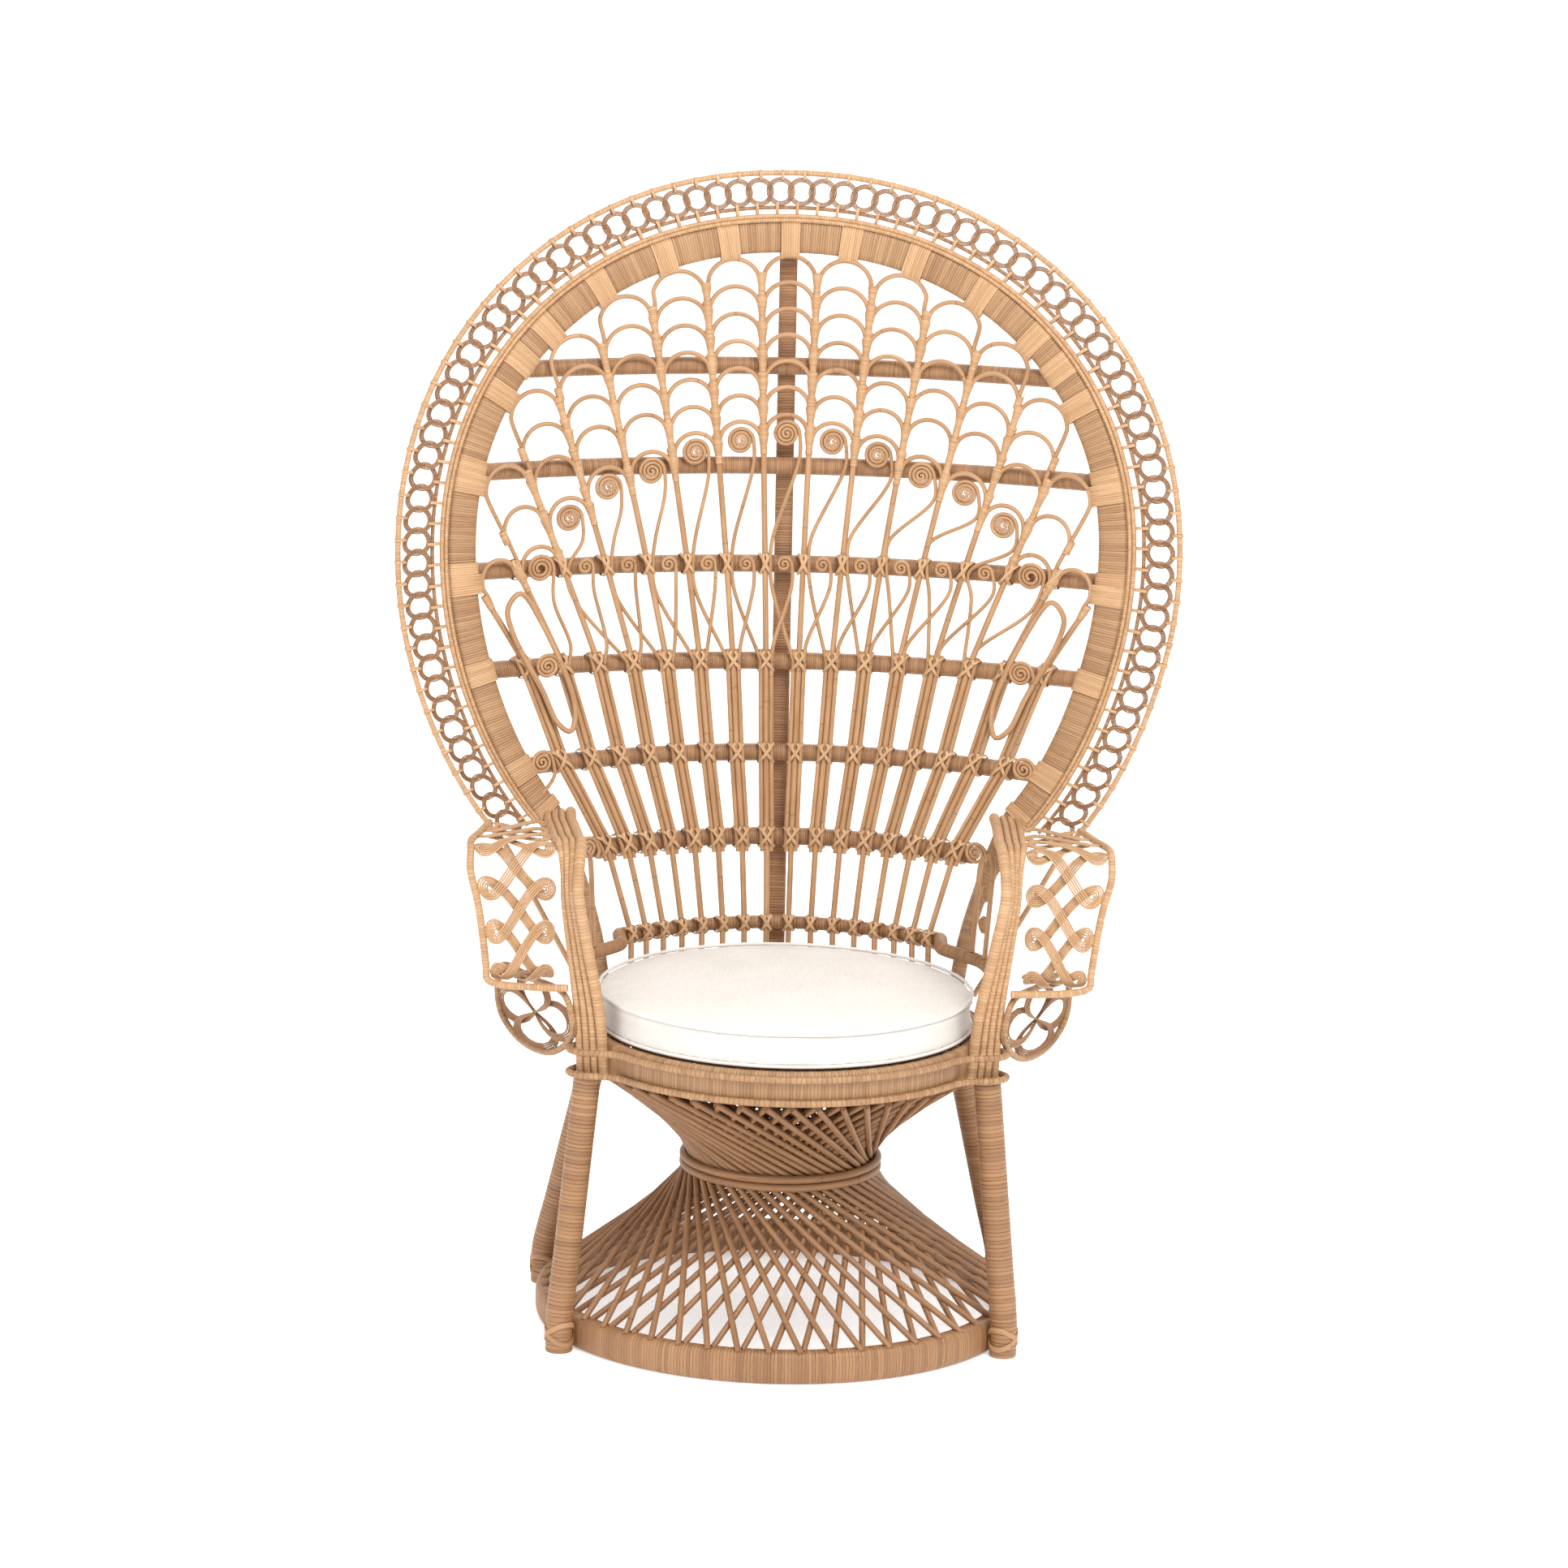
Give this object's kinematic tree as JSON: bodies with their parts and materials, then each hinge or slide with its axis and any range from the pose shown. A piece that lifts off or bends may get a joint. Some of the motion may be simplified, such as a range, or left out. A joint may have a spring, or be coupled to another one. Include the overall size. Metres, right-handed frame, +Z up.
{
  "type": "peacock chair",
  "caption": "Rattan peacock chair with a tall rounded fan back, scrolled cane infill, lace border, lace arms, round seat with a loose cushion and a twisted hourglass base.",
  "frame": {"origin": "centre of the chair's box, on the floor", "axes": "+Z up; the sitter faces -Y; +X is to the right of a viewer who stands in front"},
  "size_m": [1.0238, 0.7074, 1.4544],
  "materials": {
    "wrapped_rattan": "frame poles wrapped in glossy rattan peel, honey brown",
    "rattan_cane": "natural round rattan cane, satin lacquer",
    "base_rattan": "round rattan, warm brown, satin",
    "cushion_cloth": "off-white plain woven cotton, matte"
  },
  "bodies": {
    "chair": {"base_ring": "wrapped_rattan", "base_weave": "base_rattan", "base_weave_inner": "base_rattan", "waist_ring_lower": "rattan_cane", "waist_ring_upper": "rattan_cane", "leg_front_left": "wrapped_rattan", "leg_front_right": "wrapped_rattan", "leg_rear_left": "wrapped_rattan", "leg_rear_right": "wrapped_rattan", "seat_ring": "wrapped_rattan", "seat_panel": "base_rattan", "seat_rod_upper": "rattan_cane", "seat_rod_lower": "rattan_cane", "back_hoop": "wrapped_rattan", "hoop_beads": "rattan_cane", "border_inner_rod": "rattan_cane", "rim_rod": "rattan_cane", "border_rings": "rattan_cane", "rail_1": "wrapped_rattan", "rail_2": "wrapped_rattan", "rail_3": "wrapped_rattan", "rail_4": "wrapped_rattan", "rail_5": "wrapped_rattan", "rail_6": "wrapped_rattan", "rail_7": "wrapped_rattan", "centre_post": "wrapped_rattan", "fan_left_8": "rattan_cane", "fan_left_7": "rattan_cane", "fan_left_6": "rattan_cane", "fan_left_5": "rattan_cane", "fan_left_4": "rattan_cane", "fan_left_3": "rattan_cane", "fan_left_2": "rattan_cane", "fan_left_1": "rattan_cane", "fan_right_1": "rattan_cane", "fan_right_2": "rattan_cane", "fan_right_3": "rattan_cane", "fan_right_4": "rattan_cane", "fan_right_5": "rattan_cane", "fan_right_6": "rattan_cane", "fan_right_7": "rattan_cane", "fan_right_8": "rattan_cane", "side_loop_left": "rattan_cane", "side_loop_right": "rattan_cane", "arm_frame_left": "wrapped_rattan", "arm_rim_left": "rattan_cane", "arm_lace_left": "rattan_cane", "arm_wing_left": "rattan_cane", "side_cane_left": "rattan_cane", "arm_frame_right": "wrapped_rattan", "arm_rim_right": "rattan_cane", "arm_lace_right": "rattan_cane", "arm_wing_right": "rattan_cane", "side_cane_right": "rattan_cane"},
    "cushion": {"cushion": "cushion_cloth"}
  },
  "joints": [
    {"name": "cushion_lift", "type": "slide", "parent": "chair", "child": "cushion", "axis": [0, 0, 1], "range_m": [0, 0.15]}
  ]
}
